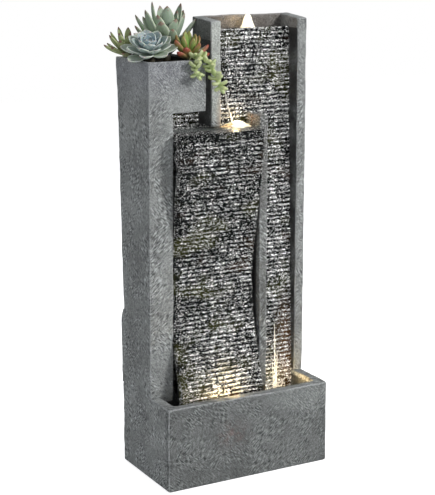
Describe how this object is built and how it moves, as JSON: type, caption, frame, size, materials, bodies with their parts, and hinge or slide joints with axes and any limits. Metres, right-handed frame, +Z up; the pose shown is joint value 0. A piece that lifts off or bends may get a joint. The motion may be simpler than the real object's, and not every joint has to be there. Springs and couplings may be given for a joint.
{
  "type": "garden wall fountain",
  "caption": "Tall cascading wall fountain in grey cement-look resin with a ridged water wall, a bowed slab, a basin, lamps and a planter of succulents.",
  "frame": {"origin": "on the ground, in the middle of the basin's underside", "axes": "+Z up, the front faces -Y, the tower with the water wall is on the +X side and the planter on the -X side"},
  "size_m": [0.4413, 0.2482, 1.0341],
  "materials": {
    "cement_resin": "grey cement-look cast resin with a fine cross-hatch",
    "wet_resin": "dark wet cast resin with horizontal ridges",
    "black_plastic": "black moulded plastic",
    "hose_plastic": "pale clear-grey hose plastic",
    "lens_plastic": "warm white translucent lens",
    "rubber": "black rubber",
    "steel": "stainless screw steel",
    "earth": "dark potting soil",
    "grey_green_leaves": "waxy grey-green succulent leaves",
    "blue_grey_leaves": "powdery blue-grey succulent leaves",
    "red_tipped_leaves": "green succulent leaves with red tips",
    "olive_leaves": "olive-green succulent leaves",
    "reddish_leaves": "reddish-brown succulent leaves",
    "pale_green_leaves": "pale green trailing succulent leaves"
  },
  "bodies": {
    "fountain": {"basin": "cement_resin", "planter_column": "cement_resin", "tower_back_panel": "cement_resin", "tower_right_wall": "cement_resin", "tower_left_post": "cement_resin", "rear_housing": "cement_resin", "divider_post": "cement_resin", "middle_trough": "cement_resin", "upper_trough": "cement_resin", "water_wall": "wet_resin", "middle_slab": "wet_resin", "middle_back_wall": "wet_resin", "upper_nozzle": "black_plastic", "middle_nozzle": "black_plastic", "upper_lamp": "black_plastic", "middle_lamp": "black_plastic", "slab_lamp": "black_plastic", "channel_lamp": "black_plastic", "pump_body": "black_plastic", "hose_tee": "black_plastic", "cable_gland": "black_plastic", "gland_nut": "black_plastic", "junction_box": "black_plastic", "riser_hose": "hose_plastic", "upper_hose": "hose_plastic", "branch_hose": "hose_plastic", "upper_lamp_lens": "lens_plastic", "middle_lamp_lens": "lens_plastic", "slab_lamp_lens": "lens_plastic", "channel_lamp_lens": "lens_plastic", "suction_foot_1": "rubber", "suction_foot_2": "rubber", "suction_foot_3": "rubber", "suction_foot_4": "rubber", "pump_lead": "rubber", "upper_lamp_lead": "rubber", "middle_lamp_lead": "rubber", "slab_lamp_lead": "rubber", "channel_lamp_lead": "rubber", "impeller_shaft": "steel"},
    "impeller": {"impeller": "hose_plastic"},
    "strainer": {"strainer_cover": "black_plastic"},
    "flow_dial": {"flow_dial": "hose_plastic"},
    "access_door": {"access_door": "cement_resin", "door_screw_1": "steel", "door_screw_2": "steel", "door_screw_3": "steel", "door_screw_4": "steel"},
    "drain_plug": {"drain_plug": "rubber"},
    "planter_insert": {"planter_liner": "black_plastic", "potting_soil": "earth", "tall_rosette": "grey_green_leaves", "blue_rosette": "blue_grey_leaves", "olive_rosette": "olive_leaves", "red_bud_rosette": "reddish_leaves", "red_tipped_rosette": "red_tipped_leaves", "trailing_sedum": "pale_green_leaves"}
  },
  "joints": [
    {"name": "impeller_spin", "type": "hinge", "parent": "fountain", "child": "impeller", "pos_m": [0.1259, 0.06025, 0.0461], "axis": [1, 0, 0], "continuous": true},
    {"name": "strainer_pull", "type": "slide", "parent": "fountain", "child": "strainer", "axis": [-1, 0, 0], "range_m": [0, 0.028]},
    {"name": "flow_dial_turn", "type": "hinge", "parent": "strainer", "child": "flow_dial", "pos_m": [0.0945, 0.06025, 0.0604], "axis": [-1, 0, 0], "range_deg": [0, 90]},
    {"name": "access_door_pull", "type": "slide", "parent": "fountain", "child": "access_door", "axis": [0, 1, 0], "range_m": [0, 0.05]},
    {"name": "drain_plug_pull", "type": "slide", "parent": "fountain", "child": "drain_plug", "axis": [0, 1, 0], "range_m": [0, 0.03]},
    {"name": "planter_lift", "type": "slide", "parent": "fountain", "child": "planter_insert", "axis": [0, 0, 1], "range_m": [0, 0.11]}
  ]
}
